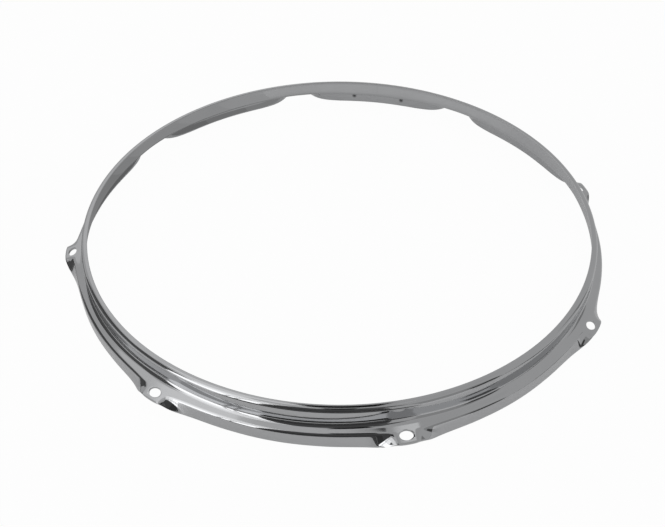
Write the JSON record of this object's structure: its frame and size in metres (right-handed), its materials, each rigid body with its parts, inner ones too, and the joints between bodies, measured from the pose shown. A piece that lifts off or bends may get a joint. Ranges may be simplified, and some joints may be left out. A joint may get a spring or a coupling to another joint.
{
  "type": "drum hoop",
  "caption": "Pressed steel drum hoop with a curled lip, an upright collar, a flange, a turned-down skirt and pierced ears for the tension rods.",
  "frame": {"origin": "on the hoop's axis, level with the lower cut edge of the skirt, on which it stands", "axes": "+Z along the hoop's axis, up through the curled lip; +Y from the axis through the butt weld, midway between two ears"},
  "size_m": [0.3826, 0.3826, 0.0242],
  "materials": {
    "hoop_steel": "bright chrome plating over pressed steel",
    "weld_steel": "chrome plating over a weld ground flush"
  },
  "bodies": {
    "root": {"hoop_band": "hoop_steel", "butt_weld": "weld_steel"}
  },
  "joints": []
}
